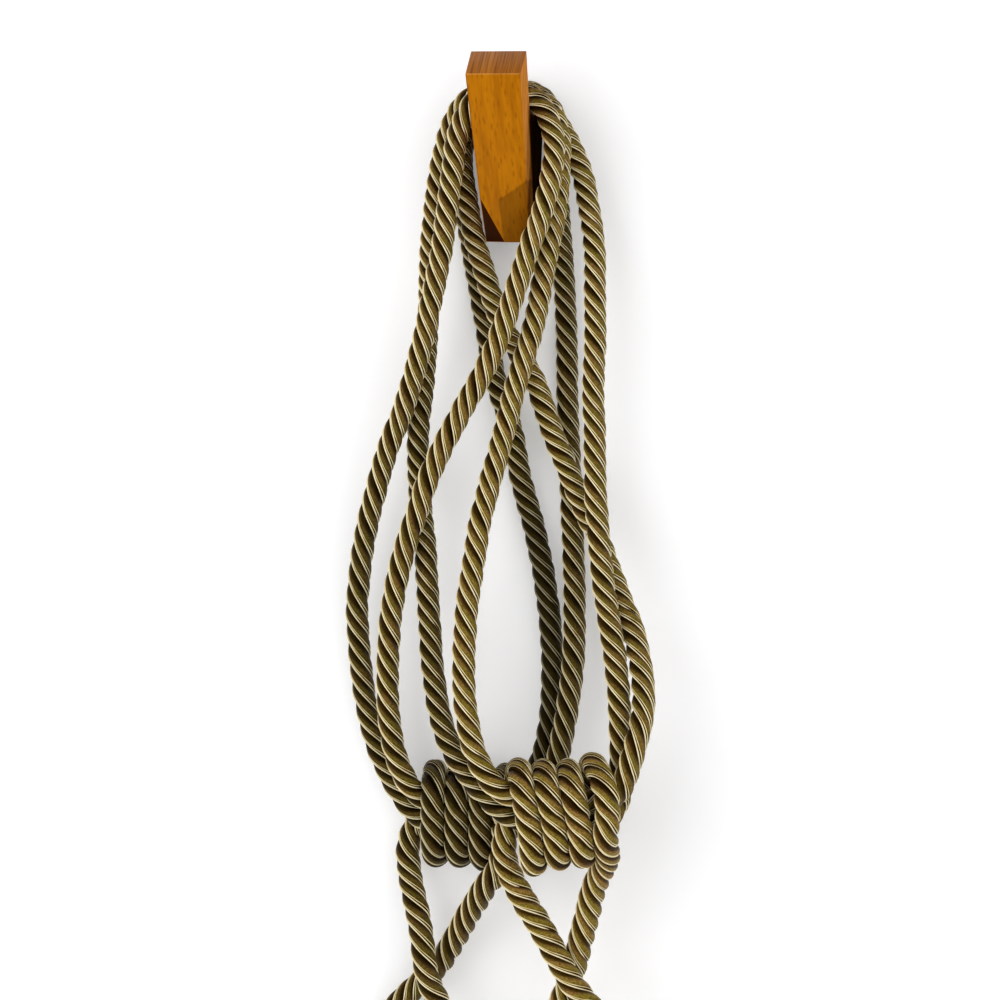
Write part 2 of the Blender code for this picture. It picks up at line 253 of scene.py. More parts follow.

# Shares of a rope's length, with how light its yarn is painted there: painted shade, deepest on the
# back tieback and where runs hang behind others, and a little painted light on runs in front
paintedShadeAlong = {
    "back_left_ear": ((0.0, 0.40), (0.20, 0.40), (0.34, 0.72), (0.50, 0.80), (0.57, 1.0),
                      (0.66, 1.0), (0.73, 0.90), (0.80, 0.72)),
    "front_left_ear": ((0.0, 0.38), (0.30, 0.42), (0.38, 0.85), (0.50, 1.05), (0.60, 1.12),
                       (0.72, 1.0)),
    "front_right_ear": ((0.0, 0.82), (0.30, 0.90), (0.50, 0.92), (0.60, 0.86), (0.68, 0.82),
                        (0.80, 0.74)),
    "back_right_ear": ((0.0, 0.08), (0.20, 0.08), (0.25, 0.36), (0.50, 0.42), (0.64, 0.34),
                       (0.80, 0.40), (1.0, 0.30)),
    "back_coil": ((0.0, 0.30), (0.45, 0.30), (0.55, 0.48)),
    "front_coil": ((0.0, 1.10), (1.0, 1.10)),
}

# The ropes' centre lines, laid from point to point
earRoutes = {
    "back_left_ear": [
        (-0.01915, -0.018, -0.307), (-0.027, -0.018, -0.307), (-0.0345, -0.0178, -0.307),
        (-0.041, -0.0168, -0.3056), (-0.0465, -0.016, -0.3015), (-0.052, -0.0155, -0.294),
        (-0.0575, -0.0153, -0.284), (-0.063, -0.015, -0.27), (-0.0675, -0.015, -0.249),
        (-0.0695, -0.0155, -0.228), (-0.07, -0.0165, -0.212), (-0.0685, -0.018, -0.196),
        (-0.065, -0.02, -0.176), (-0.0595, -0.023, -0.156), (-0.053, -0.026, -0.136),
        (-0.046, -0.029, -0.12), (-0.0395, -0.033, -0.101), (-0.035, -0.035, -0.085),
        (-0.0315, -0.0365, -0.07), (-0.0275, -0.0375, -0.052), (-0.025, -0.0375, -0.035),
        (-0.0225, -0.0375, -0.017), (-0.0205, -0.0375, -0.004), (-0.017, -0.0375, 0.005),
        (-0.011, -0.0375, 0.0128), (-0.003, -0.0375, 0.0162), (0.005, -0.0375, 0.0158),
        (0.0115, -0.0375, 0.0126), (0.0165, -0.0375, 0.007), (0.0196, -0.0375, -0.001),
        (0.0205, -0.0375, -0.009), (0.019, -0.0375, -0.021), (0.0152, -0.0375, -0.036),
        (0.011, -0.038, -0.047), (0.004, -0.0375, -0.068), (-0.0035, -0.037, -0.089),
        (-0.009, -0.0365, -0.101), (-0.0225, -0.0345, -0.125), (-0.0335, -0.033, -0.147),
        (-0.0395, -0.032, -0.164), (-0.0465, -0.03, -0.184), (-0.052, -0.028, -0.209),
        (-0.054, -0.0265, -0.23), (-0.0545, -0.025, -0.251), (-0.0525, -0.0245, -0.27),
        (-0.0485, -0.0238, -0.283), (-0.0445, -0.0225, -0.2905), (-0.0385, -0.0202, -0.2954),
        (-0.029, -0.018, -0.2964), (-0.01915, -0.018, -0.2964),
    ],
    "front_left_ear": [
        (0.02385, -0.0525, -0.2938), (0.016, -0.0525, -0.2936), (0.0075, -0.0519, -0.2932),
        (-0.001, -0.0508, -0.2891), (-0.009, -0.0485, -0.2822), (-0.016, -0.0459, -0.275),
        (-0.0215, -0.044, -0.2678), (-0.026, -0.0415, -0.2595), (-0.03, -0.0375, -0.247),
        (-0.0335, -0.032, -0.228), (-0.035, -0.0285, -0.214), (-0.0365, -0.025, -0.2),
        (-0.038, -0.022, -0.181), (-0.0405, -0.02, -0.161), (-0.0415, -0.0195, -0.141),
        (-0.041, -0.0195, -0.127), (-0.039, -0.02, -0.112), (-0.037, -0.0215, -0.092),
        (-0.0355, -0.0235, -0.073), (-0.0345, -0.0255, -0.053), (-0.0325, -0.0265, -0.0344),
        (-0.0305, -0.027, -0.0208), (-0.028, -0.027, -0.0091), (-0.0245, -0.027, 0.0016),
        (-0.0195, -0.027, 0.0099), (-0.011, -0.027, 0.0152), (-0.002, -0.027, 0.0163),
        (0.006, -0.027, 0.0152), (0.0135, -0.027, 0.0114), (0.019, -0.027, 0.0046),
        (0.0215, -0.027, -0.0052), (0.0215, -0.027, -0.0149), (0.02, -0.027, -0.0344),
        (0.0175, -0.027, -0.0471), (0.015, -0.0275, -0.06), (0.011, -0.029, -0.082),
        (0.003, -0.0315, -0.11), (-0.0015, -0.0335, -0.129), (-0.0065, -0.036, -0.148),
        (-0.011, -0.0385, -0.167), (-0.0135, -0.0415, -0.186), (-0.0155, -0.0435, -0.2),
        (-0.0165, -0.0475, -0.224), (-0.0155, -0.051, -0.243), (-0.0115, -0.0545, -0.261),
        (-0.0068, -0.0572, -0.2705), (-0.0022, -0.0579, -0.2762), (0.004, -0.0555, -0.2814),
        (0.01, -0.0533, -0.2832), (0.017, -0.0525, -0.2834), (0.02385, -0.0525, -0.2834),
    ],
    "front_right_ear": [
        (0.02415, -0.0525, -0.2834), (0.034, -0.0525, -0.2834), (0.042, -0.0528, -0.2832),
        (0.0495, -0.0548, -0.2805), (0.0538, -0.0565, -0.274), (0.0565, -0.057, -0.265),
        (0.0588, -0.055, -0.256), (0.0605, -0.05, -0.247), (0.0605, -0.044, -0.237),
        (0.0585, -0.038, -0.227), (0.055, -0.031, -0.215), (0.049, -0.0255, -0.202),
        (0.043, -0.022, -0.188), (0.0375, -0.02, -0.174), (0.032, -0.019, -0.164),
        (0.024, -0.0185, -0.145), (0.0175, -0.018, -0.13), (0.0095, -0.017, -0.108),
        (0.0, -0.0165, -0.092), (-0.006, -0.0165, -0.081), (-0.01, -0.0165, -0.069),
        (-0.0135, -0.0165, -0.058), (-0.0175, -0.0165, -0.0443), (-0.0195, -0.0165, -0.0329),
        (-0.0215, -0.0165, -0.0215), (-0.0225, -0.0165, -0.0102), (-0.0215, -0.0165, 0.0003),
        (-0.017, -0.0165, 0.0093), (-0.01, -0.0165, 0.0147), (-0.002, -0.0165, 0.0163),
        (0.0065, -0.0165, 0.0148), (0.0135, -0.0165, 0.0098), (0.0185, -0.0165, 0.0031),
        (0.0225, -0.0165, -0.0035), (0.026, -0.0165, -0.0102), (0.0295, -0.0165, -0.0187),
        (0.033, -0.018, -0.0348), (0.0355, -0.02, -0.051), (0.036, -0.022, -0.069),
        (0.0365, -0.024, -0.09), (0.036, -0.026, -0.11), (0.037, -0.028, -0.129),
        (0.0375, -0.03, -0.148), (0.039, -0.032, -0.167), (0.041, -0.0335, -0.186),
        (0.044, -0.0355, -0.205), (0.0475, -0.038, -0.224), (0.0498, -0.041, -0.242),
        (0.0508, -0.0435, -0.257), (0.0512, -0.0436, -0.268), (0.0512, -0.0438, -0.278),
        (0.0496, -0.045, -0.2875), (0.0445, -0.049, -0.2938), (0.038, -0.0517, -0.2944),
        (0.031, -0.0525, -0.2938), (0.02415, -0.0525, -0.2938),
    ],
    "back_right_ear": [
        (-0.01885, -0.018, -0.2964), (-0.011, -0.018, -0.2964), (-0.003, -0.0176, -0.2958),
        (0.004, -0.0168, -0.292), (0.009, -0.0158, -0.285), (0.0125, -0.015, -0.277),
        (0.015, -0.014, -0.267), (0.0165, -0.013, -0.255), (0.017, -0.0115, -0.241),
        (0.0165, -0.01, -0.226), (0.015, -0.009, -0.211), (0.012, -0.008, -0.1915),
        (0.0075, -0.0075, -0.1715), (0.002, -0.007, -0.152), (-0.002, -0.0065, -0.131),
        (-0.0085, -0.006, -0.112), (-0.012, -0.006, -0.096), (-0.014, -0.006, -0.084),
        (-0.018, -0.006, -0.062), (-0.0205, -0.006, -0.0482), (-0.023, -0.006, -0.0325),
        (-0.024, -0.006, -0.0168), (-0.0225, -0.006, -0.0029), (-0.0175, -0.006, 0.0077),
        (-0.0105, -0.006, 0.014), (-0.002, -0.006, 0.0162), (0.006, -0.006, 0.0154),
        (0.0127, -0.006, 0.011), (0.017, -0.006, 0.0035), (0.018, -0.006, -0.0066),
        (0.0178, -0.006, -0.0168), (0.0178, -0.006, -0.026), (0.0185, -0.006, -0.0371),
        (0.0195, -0.006, -0.0482), (0.021, -0.006, -0.07), (0.022, -0.006, -0.092),
        (0.0225, -0.0065, -0.117), (0.0235, -0.007, -0.139), (0.0245, -0.008, -0.161),
        (0.0255, -0.0095, -0.178), (0.0265, -0.0115, -0.196), (0.027, -0.014, -0.211),
        (0.027, -0.0175, -0.231), (0.0255, -0.0215, -0.248), (0.0235, -0.024, -0.262),
        (0.0208, -0.025, -0.275), (0.0165, -0.0248, -0.288), (0.0095, -0.0226, -0.3),
        (0.001, -0.0198, -0.3062), (-0.01, -0.018, -0.307), (-0.01885, -0.018, -0.307),
    ],
}

lowerLoops = {
    "back_lower_loop": [
        (-0.002, -0.0298, -0.309), (-0.0024, -0.0304, -0.316), (-0.0042, -0.0308, -0.3229),
        (-0.0092, -0.0288, -0.3305), (-0.014, -0.0255, -0.3385), (-0.0185, -0.022, -0.3465),
        (-0.0227, -0.0185, -0.3545), (-0.027, -0.0155, -0.3627), (-0.0315, -0.0125, -0.371),
        (-0.038, -0.0102, -0.38), (-0.0465, -0.0092, -0.3885), (-0.055, -0.0098, -0.398),
        (-0.0588, -0.0115, -0.4095), (-0.053, -0.0145, -0.4205), (-0.041, -0.0175, -0.4255),
        (-0.0295, -0.02, -0.4205), (-0.0245, -0.022, -0.41), (-0.027, -0.023, -0.399),
        (-0.033, -0.0235, -0.389), (-0.0375, -0.0233, -0.378), (-0.0398, -0.022, -0.367),
        (-0.0415, -0.0198, -0.356), (-0.045, -0.016, -0.3435), (-0.0479, -0.0125, -0.332),
        (-0.049, -0.01, -0.322), (-0.0472, -0.008, -0.3145),
    ],
    "front_lower_loop": [
        (0.0469, -0.0628, -0.298), (0.047, -0.0582, -0.3032), (0.0466, -0.053, -0.308),
        (0.0452, -0.0482, -0.3126), (0.0432, -0.0446, -0.317), (0.0411, -0.0422, -0.3216),
        (0.0393, -0.0402, -0.327), (0.0374, -0.0382, -0.3345), (0.0352, -0.0364, -0.344),
        (0.032, -0.0334, -0.357), (0.0285, -0.031, -0.371), (0.024, -0.0305, -0.383),
        (0.0185, -0.031, -0.395), (0.0155, -0.0325, -0.408), (0.0205, -0.034, -0.42),
        (0.033, -0.036, -0.4255), (0.0455, -0.038, -0.4205), (0.051, -0.0395, -0.409),
        (0.049, -0.0405, -0.396), (0.042, -0.041, -0.385), (0.0335, -0.0415, -0.3745),
        (0.0275, -0.042, -0.365), (0.022, -0.042, -0.355), (0.017, -0.042, -0.346),
        (0.0115, -0.042, -0.337), (0.006, -0.042, -0.328), (0.002, -0.042, -0.319),
        (0.0, -0.0415, -0.3095),
    ],
}


def smoothStretch(a, b, c, d):
    # the points of a smooth curve from b up to c, on its way from a to d: the square roots of
    # the distances keep it from swinging out where they differ
    t1 = np.linalg.norm(b - a) ** 0.5
    t2 = t1 + np.linalg.norm(c - b) ** 0.5
    t3 = t2 + np.linalg.norm(d - c) ** 0.5
    count = max(2, int(np.linalg.norm(c - b) / rope["curveStep"]))
    points = []
    for t in np.linspace(t1, t2, count, endpoint=False):
        ab = ((t1 - t) * a + t * b) / t1
        bc = ((t2 - t) * b + (t - t1) * c) / (t2 - t1)
        cd = ((t3 - t) * c + (t - t2) * d) / (t3 - t2)
        left = ((t2 - t) * ab + t * bc) / t2
        right = ((t3 - t) * bc + (t - t1) * cd) / (t3 - t1)
        points.append(((t2 - t) * left + (t - t1) * right) / (t2 - t1))
    return points


def smoothCurve(route, closed=False):
    points = [np.array(p, float) for p in route]
    if closed:
        points = [points[-1]] + points + points[:2]
    else:
        points = [2 * points[0] - points[1]] + points + [2 * points[-1] - points[-2]]
    curve = []
    for i in range(len(points) - 3):
        curve += smoothStretch(*points[i:i + 4])
    curve.append(points[-2])
    return np.array(curve)


def lengthsAlong(curve):
    steps = np.linalg.norm(np.diff(curve, axis=0), axis=1)
    return np.concatenate([[0.0], np.cumsum(steps)])


def readCurve(curve, marks):
    # where the curve is after each length in marks
    along = lengthsAlong(curve)
    return np.stack([np.interp(marks, along, curve[:, k]) for k in range(3)], axis=1)


def coilPoint(coil, turns):
    # the rope's place after so many turns: round the top, down the front, round and up the back
    radius = coil["halfDepth"]
    straight = coil["halfHeight"] - radius
    quarter = pi * radius / 2
    part = turns % 1.0
    run = part * (4 * quarter + 4 * straight)
    if run < quarter:
        depth, height = -radius * sin(run / radius), straight + radius * cos(run / radius)
    elif run < quarter + 2 * straight:
        depth, height = -radius, straight - (run - quarter)
    elif run < 3 * quarter + 2 * straight:
        bend = (run - quarter - 2 * straight) / radius
        depth, height = -radius * cos(bend), -straight - radius * sin(bend)
    elif run < 3 * quarter + 4 * straight:
        depth, height = radius, run - 3 * quarter - 3 * straight
    else:
        bend = (run - 3 * quarter - 4 * straight) / radius
        depth, height = radius * cos(bend), straight + radius * sin(bend)
    angle = 2 * pi * part
    drift = coil["frontDrift"] * (1 - cos(angle)) / 2 + coil["skew"] * sin(angle)
    after, aside, back, up = zip(*coil["shifts"])
    x, y, z = coil["firstTop"]
    return (
        x + coil["pitch"] * turns + drift + np.interp(turns, after, aside),
        y + depth + np.interp(turns, after, back),
        z + height + np.interp(turns, after, up),
    )


def wrapCurve(coilName, loopName):
    first, last = coilTurns["start"], coilTurns["end"]
    count = int(round((last - first) * coilTurns["stepsPerTurn"]))
    turns = [coilPoint(coils[coilName], t) for t in np.linspace(first, last, count + 1)]
    return smoothCurve(turns + lowerLoops[loopName], closed=True)


def sized(vectors):
    return vectors / np.linalg.norm(vectors, axis=1)[:, None]


def squareTo(vectors, directions):
    return sized(vectors - (vectors * directions).sum(1)[:, None] * directions)


def carriedSides(directions):
    # a sideways direction for each point that doesn't spin round the rope
    alongY = abs(directions[0][1]) > 0.9
    sides = [np.array((1.0, 0.0, 0.0) if alongY else (0.0, 1.0, 0.0))]
    for direction in directions:
        side = sides[-1] - sides[-1].dot(direction) * direction
        sides.append(side / np.linalg.norm(side))
    return np.array(sides[1:])


def ropeShare(heights):
    # the rope's thickness, as a share of its diameter
    rise = (heights - rope["slackBelow"]) / (rope["tautAbove"] - rope["slackBelow"])
    return 1.0 - (1.0 - rope["tautShare"]) * np.clip(rise, 0.0, 1.0)


class Tubes:
    # gathers the tubes of one rope, and makes them one mesh
    def __init__(self):
        self.points, self.faces, self.slots = [], [], []
        self.cornerUv, self.places = [], []
        self.count = 0

    def add(self, line, out, across, halfOut, halfAcross, sides, along, slot, lean, paintedLight):
        angles = np.linspace(0.0, 2 * pi, sides, endpoint=False)
        ring = (
            line[:, None]
            + (halfOut[:, None] * np.cos(angles))[:, :, None] * out[:, None]
            + (halfAcross[:, None] * np.sin(angles))[:, :, None] * across[:, None]
        )
        rows = len(line)
        i, j = np.meshgrid(np.arange(rows - 1), np.arange(sides), indexing="ij")
        nextJ = (j + 1) % sides
        quads = np.stack([i * sides + j, i * sides + nextJ, (i + 1) * sides + nextJ,
                          (i + 1) * sides + j], axis=-1).reshape(-1, 4) + self.count
        uv = np.stack([
            np.stack([j / sides, along[i]], -1), np.stack([(j + 1) / sides, along[i]], -1),
            np.stack([(j + 1) / sides, along[i + 1]], -1), np.stack([j / sides, along[i + 1]], -1),
        ], axis=-2).reshape(-1, 2)
        # the third value is the painted shade along the rope
        place = np.stack([
            lean[:, None] * np.sin(angles),
            np.broadcast_to(np.cos(angles), (rows, sides)),
            np.broadcast_to(paintedLight[:, None], (rows, sides)),
        ], axis=-1)
        first = [self.count + k for k in reversed(range(sides))]
        last = [self.count + (rows - 1) * sides + k for k in range(sides)]
        self.points.append(ring.reshape(-1, 3))
        self.places.append(place.reshape(-1, 3))
        self.faces += quads.tolist() + [first, last]
        self.cornerUv += [uv, np.zeros((sides, 2)), np.zeros((sides, 2))]
        self.slots += [slot] * (len(quads) + 2)
        self.count += rows * sides

    def make(self, name, materials):
        mesh = bpy.data.meshes.new(name)
        mesh.from_pydata(np.concatenate(self.points).tolist(), [], self.faces)
        for material in materials:
            mesh.materials.append(material)
        mesh.polygons.foreach_set("material_index", self.slots)
        mesh.polygons.foreach_set("use_smooth", [True] * len(self.slots))
        uvMap = mesh.uv_layers.new(name="ropeSurface")
        uvMap.data.foreach_set("uv", np.concatenate(self.cornerUv).ravel())
        place = mesh.attributes.new("plyPlace", "FLOAT_VECTOR", "POINT")
        place.data.foreach_set("vector", np.concatenate(self.places).ravel())
        mesh.update()
        piece = bpy.data.objects.new(name, mesh)
        bpy.context.scene.collection.objects.link(piece)
        return piece


def plyTurns(node, line, marks, side, other, closed):
    # how far the plies have turned at each mark
    heights, gaps = zip(*plySpacing[node])
    part = 2 * pi / rope["plies"]
    perStep = np.diff(marks) * part / np.interp(line[1:, 2], heights, gaps)
    turned = np.concatenate([[0.0], np.cumsum(perStep)])
    if closed:
        # the plies of a closed rope meet their own start
        swung = np.arctan2(side[-1].dot(other[0]), side[-1].dot(side[0]))
        turned *= (round((turned[-1] - swung) / part) * part + swung) / turned[-1]
    return turned


def wave(size, ply, marks):
    return np.sin(marks / size["length"] + size["perPly"] * ply)


def layRope(name, curve, turnsOver, materials, closed=False):
    # turnsOver: places along the rope, with the flank that the threads take from there on
    whole = lengthsAlong(curve)[-1]
    marks = np.linspace(0.0, whole, int(round(whole / rope["step"])) + 1)
    line = readCurve(curve, marks)
    direction = sized(np.gradient(line, axis=0))
    side = carriedSides(direction)
    other = np.cross(direction, side)
    share = ropeShare(line[:, 2])
    if name in girths:
        share = share * np.interp(line[:, 2], *zip(*girths[name]))
    flank = np.interp(marks, *zip(*turnsOver))
    right = flank[:, None] * np.cross(direction, roomSide)
    turned = plyTurns(name, line, marks, side, other, closed)
    slope = np.gradient(turned, marks) * rope["helixRadius"]
    room = 2 * pi / rope["plies"] * rope["helixRadius"] / np.sqrt(1 + slope ** 2)
    ends = np.clip(np.minimum(marks, whole - marks) / rope["evenEnds"], 0.0, 1.0)
    # painted shade along the rope, and a little painted light where it hangs in front
    paintedLight = np.interp(marks / whole, *zip(*paintedShadeAlong[name]))
    tubes = Tubes()
    for ply in range(rope["plies"]):
        uneven = wander["size"] * ends * (
            wander["long"]["share"] * wave(wander["long"], ply, marks)
            + wander["short"]["share"] * wave(wander["short"], ply, marks)
        )
        turn = 2 * pi * ply / rope["plies"] - turned + uneven
        outwards = np.cos(turn)[:, None] * side + np.sin(turn)[:, None] * other
        fuller = 1 + swell["share"] * ends * wave(swell, ply, marks)
        centre = line + (rope["helixRadius"] * share)[:, None] * outwards
        run = sized(np.gradient(centre, axis=0))
        out = squareTo(outwards, run)
        across = np.cross(run, out)
        thick = rope["plyThick"] * share * fuller
        wide = rope["plyFill"] / 2 * room * share * fuller
        plyAlong = lengthsAlong(centre) + rope["patternShift"] * ply
        tubes.add(centre, out, across, thick, wide, rope["plySides"], plyAlong, 0, flank, paintedLight)
        worn = 1 - wear["share"] * np.clip(outwards[:, 2] / wear["from"] - 1.0, 0.0, 1.0)
        for thread in threads:
            angle = (thread["angle"] - thread["swing"] * (outwards * right).sum(1)) * flank
            lift = thread["proud"]
            middle = (
                centre
                + ((thick + lift) * np.cos(angle))[:, None] * out
                + ((wide + lift) * np.sin(angle))[:, None] * across
            )
            threadRun = sized(np.gradient(middle, axis=0))
            threadOut = squareTo(middle - centre, threadRun)
            radius = thread["radius"] * worn
            tubes.add(middle, threadOut, np.cross(threadRun, threadOut), radius, radius,
                      rope["threadSides"], plyAlong, thread["slot"], flank, paintedLight)
    return tubes.make(name + "_rope", materials), line, whole


yarn = {
    # colours across a ply, from the side away from its threads to the groove beside them: the
    # near-black ends are painted shade in the grooves, and the dark brown beside them is partly brown
    # yarn and partly painted shade
    "across": (
        (0.00, (0.014, 0.005, 0.0)),
        (0.17, (0.031, 0.013, 0.001)),
        (0.27, (0.112, 0.066, 0.013)),
        (0.40, (0.190, 0.130, 0.023)),
        (0.57, (0.205, 0.150, 0.020)),
        (0.72, (0.170, 0.121, 0.015)),
        (0.79, (0.072, 0.040, 0.004)),
        (0.89, (0.044, 0.020, 0.001)),
        (1.00, (0.014, 0.005, 0.0)),
    ),
    "greener": (0.93, 0.93, 0.85, 1.0),
    "browner": (1.12, 0.93, 1.35, 1.0),
    "tintAt": (0.38, 0.62),
    "filaments": 26,          # round a ply
    "slant": 900.0,           # filaments that pass in a metre along it
    "ruffled": 6.0,           # radians, how far the filaments stray
    "streaks": 170.0,         # to a metre
    "fine": 7.0,              # scales of the two noises
    "broad": 0.6,
    "ragged": 0.25,           # how far the bands' edges stray
    "contrast": 0.24,
    "darkest": 0.48,
    "fineAt": (0.3, 0.7),
    "filamentHeight": 0.5,
    "roughness": 0.40,
    "rougher": 0.15,
    "bump": 0.5,
    "bumpHeight": 0.0002,
    "sheen": 0.18,
    "sheenColour": (1.0, 0.72, 0.15, 1.0),
}


def plySurface(tree):
    # round a ply, along it, and the attribute that tells flank, crown and the painted shade along the
    # rope
    surface = tree.node("ShaderNodeUVMap", settings={"uv_map": "ropeSurface"})
    place = tree.node("ShaderNodeAttribute", settings={"attribute_name": "plyPlace"}, output="Vector")
    return surface.part("X"), surface.part("Y"), place


def ropeYarn():
    material, shader, tree = newMaterial("ropeYarn")
    around, along, place = plySurface(tree)
    flank, crown, paintedLight = place.part("X"), place.part("Y"), place.part("Z")
    spot = placeOf(tree, flank, crown, along * yarn["streaks"])
    fine = noise(tree, spot, scale=yarn["fine"], detail=3.0)
    broad = noise(tree, spot, scale=yarn["broad"], detail=2.0)
    turn = around * (2 * pi * yarn["filaments"]) + along * (2 * pi * yarn["slant"])
    filament = (turn + fine * yarn["ruffled"]).sine()
    # the flank's -1 to 1 becomes 0 to 1
    edge = (flank + (broad - 0.5) * yarn["ragged"] + 1.0) * 0.5
    band = tree.node("ShaderNodeValToRGB", {"Fac": edge}, {"stops": yarn["across"]})
    tint = broad.between(*yarn["tintAt"]).blend(yarn["greener"], yarn["browner"])
    # the yarn is darkened by its painted shade along the rope
    streak = (filament * yarn["contrast"] + fine.between(*yarn["fineAt"]) + yarn["darkest"]) * paintedLight
    feed(band.tinted(tint).scaled(streak), shader, "Base Color")
    feed(yarn["roughness"] + fine * yarn["rougher"], shader, "Roughness")
    feedBump(filament * yarn["filamentHeight"] + fine, yarn["bump"], yarn["bumpHeight"], shader)
    shader.inputs["Specular IOR Level"].default_value = yarn["sheen"]
    shader.inputs["Specular Tint"].default_value = yarn["sheenColour"]
    return material


goldThreads = {
    "brightThread": {"pale": (1.00, 0.88, 0.57, 1.0), "deep": (0.93, 0.74, 0.38, 1.0)},
    "faintThread": {"pale": (0.90, 0.77, 0.42, 1.0), "deep": (0.60, 0.45, 0.15, 1.0)},
}
goldFinish = {
    "uneven": 210.0,          # to a metre
    "unevenAt": (0.3, 0.6),
    "strands": 2,             # twisted together
    "twist": 1500.0,          # to a metre
    "shadeFloor": 0.2,              # the gold follows the yarn's painted shade, from this share up
    "shadeFollow": 1.6,
    "roughness": 0.30,
    "rougher": 0.15,
    "bump": 0.25,
    "bumpHeight": 0.0001,
}


def goldThread(name):
    look = goldThreads[name]
    material, shader, tree = newMaterial(name)
    around, along, place = plySurface(tree)
    spot = placeOf(tree, 0.0, 0.0, along * goldFinish["uneven"])
    uneven = noise(tree, spot, scale=1.0, detail=2.0)
    twist = around * (2 * pi * goldFinish["strands"]) + along * (2 * pi * goldFinish["twist"])
    # the threads take the yarn's painted shade too
    paintedLight = place.part("Z") * goldFinish["shadeFollow"] + goldFinish["shadeFloor"]
    gold = uneven.between(*goldFinish["unevenAt"]).blend(look["deep"], look["pale"])
    feed(gold.scaled(paintedLight.atMost(1.0)), shader, "Base Color")
    feed(goldFinish["roughness"] + uneven * goldFinish["rougher"], shader, "Roughness")
    feedBump(twist.sine(), goldFinish["bump"], goldFinish["bumpHeight"], shader)
    return material


ropeLook = [ropeYarn(), goldThread("brightThread"), goldThread("faintThread")]


def declareRope(piece, line, whole, lay, *nodes):
    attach(piece, "root")
    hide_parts(*nodes)


def hangEars():
    half = flankTurn["half"]
    for node, route in earRoutes.items():
        curve = smoothCurve(route)
        over = lengthsAlong(curve)[int(np.argmax(curve[:, 2]))]
        turnsOver = [(0.0, -1.0), (over - half, -1.0), (over + half, 1.0)]
        piece, line, whole = layRope(node, curve, turnsOver, ropeLook)
        declareRope(piece, line, whole, "hanging", node)
        print("laid", piece.name, round(whole, 3))


def windCoils():
    start, half = flankTurn["start"], flankTurn["half"]
    for coilName, loopName in zip(coils, lowerLoops):
        curve = wrapCurve(coilName, loopName)
        low = lengthsAlong(curve)[int(np.argmin(curve[:, 2]))]
        turnsOver = [(0.0, -1.0), (start, 1.0), (low - half, 1.0), (low + half, -1.0)]
        piece, line, whole = layRope(coilName, curve, turnsOver, ropeLook, closed=True)
        declareRope(piece, line, whole, "coiled", coilName, loopName)
        print("wound", piece.name, round(whole, 3))


hangEars()
windCoils()

# Hook: orange varnished beech
hook = {
    "pale": (0.56, 0.205, 0.010, 1.0),
    "deep": (0.40, 0.130, 0.005, 1.0),
    "fleck": (0.25, 0.070, 0.003, 1.0),
    "fleckScale": (640.0, 100.0, 190.0),
    "fleckAt": (0.05, 0.42),
    "broadScale": 0.2,        # of the broad grain, to the fine grain's 1
    "broadShare": 0.7,
    "fineShare": 0.5,
    "deepAt": (0.42, 0.80),
    "linedAt": (0.48, 0.62),
    "roughness": 0.34,
    "rougher": 0.2,
    "bump": 0.2,
    "bumpHeight": 0.0002,
    "glossColour": (1.0, 0.62, 0.20, 1.0),
    "smoothAngle": radians(38.0),
    "flatWithin": radians(0.5),
    "mergeWithin": 0.00002,
}

# Where the wood is painted darker: low on the front, under a slanting line and right of an upright
# one; and, as painted shade, inside the hook, under the horn's sloping back and below a height. Each
# edge is soft.
hookShade = {
    "lineSlope": 0.62,
    "lineStart": 0.0273,
    "lineSoft": (-0.0004, 0.0006),
    "rightOf": -0.0035,
    "rightSoft": (0.0, 0.001),
    "frontDepth": 0.42,
    "ragged": 0.004,
    "hornSlope": -0.6745,
    "hornStart": 0.0445,
    "hornSoft": (0.0, 0.006),
    "under": 0.012,
    "underSoft": (0.0, 0.010),
    "insideShade": 0.96,
}

# The wood's looks, in the order of the hook's material slots: lit and shaded copies of one wood, with
# painted shade on the top and on the down-facing facet, a painted highlight on the top front edge,
# and painted sheen on the sides
hookLooks = {
    "hookFront": {"paintedLight": (0.87, 0.80, 0.11), "grain": (900.0, 160.0, 60.0), "flecked": 0.55,
                  "lined": 0.0, "gloss": 0.15},
    "hookTopShaded": {"paintedLight": (0.76, 0.68, 1.0), "grain": (1500.0, 30.0, 30.0), "flecked": 0.0,
                "lined": 0.40, "gloss": 0.15},
    "hookEdgeHighlight": {"paintedLight": (1.15, 1.35, 5.0), "grain": (900.0, 160.0, 60.0), "flecked": 0.1,
                 "lined": 0.0, "gloss": 0.30},
    "hookFacetShaded": {"paintedLight": (0.060, 0.030, 0.02), "grain": (900.0, 160.0, 60.0), "flecked": 0.3,
                  "lined": 0.0, "gloss": 0.05},
    "hookSideSheen": {"paintedLight": (1.05, 1.10, 4.0), "grain": (300.0, 900.0, 60.0), "flecked": 0.2,
                 "lined": 0.0, "gloss": 0.0},
}

# The ways that the hook's faces look, and how nearly each kind of face looks its own way
hookFaces = {
    "front": (0.0, -0.829, -0.559),
    "top": (0.0, -0.559, 0.829),
    "facet": (-0.279, -0.734, -0.620),
    "facetAlike": 0.985,
    "edgeAlike": 0.85,
    "edgeAside": 0.3,
    "topAlike": 0.6,
    "sideAlike": 0.8,
}


def shadeOfHook(x, y, z, ragged):
    shade = hookShade
    line = (x * shade["lineSlope"] - z - shade["lineStart"] + ragged).between(*shade["lineSoft"])
    right = (x - shade["rightOf"] + ragged).between(*shade["rightSoft"])
    horn = (y - z * shade["hornSlope"] + shade["hornStart"]).between(*shade["hornSoft"])
    under = (shade["under"] - z).between(*shade["underSoft"])
    front = 1.0 - line * right * shade["frontDepth"]
    # painted shade inside the hook, behind the horn
    return front * (1.0 - horn * under * shade["insideShade"])


